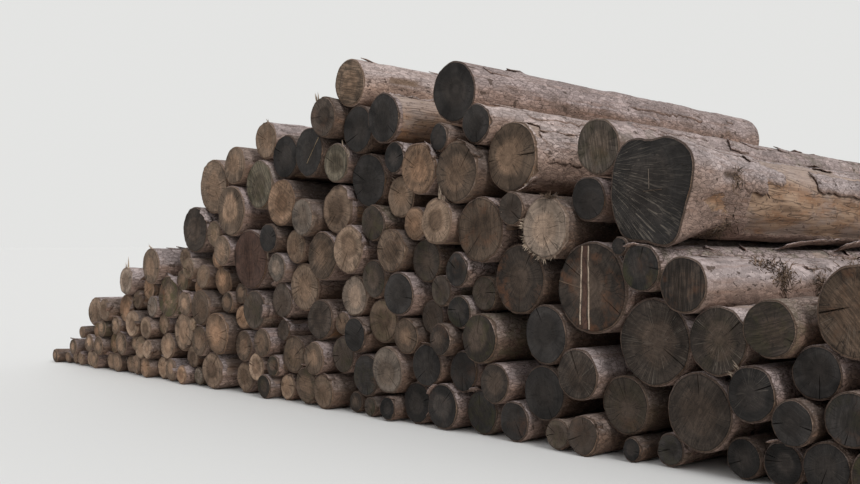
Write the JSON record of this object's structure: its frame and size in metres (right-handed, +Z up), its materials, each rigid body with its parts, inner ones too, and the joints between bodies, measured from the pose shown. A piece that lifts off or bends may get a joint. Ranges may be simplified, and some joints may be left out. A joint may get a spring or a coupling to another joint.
{
  "type": "stack of logs",
  "caption": "Low heap of felled saw logs laid side by side with butt ends to the front, thin ones on the sloping tails and thick ones on top, for timber yards and forest roadsides.",
  "frame": {"origin": "middle of the heap's footprint on the ground", "axes": "+X along the face of the heap, towards the end with the thick logs; +Y along the logs from the butt ends on the face to the top ends; +Z up"},
  "size_m": [13.0416, 4.2396, 3.1422],
  "materials": {
    "logs": "rough bark and sawn, weathered end grain"
  },
  "bodies": {
    "root": {"left_tail_logs": "logs", "left_shoulder_logs": "logs", "left_bottom_logs": "logs", "left_middle_logs": "logs", "left_top_logs": "logs", "middle_logs": "logs", "middle_bottom_logs": "logs", "right_top_logs": "logs", "heart_shaped_log": "logs", "right_logs": "logs", "right_tail_logs": "logs"}
  },
  "joints": []
}
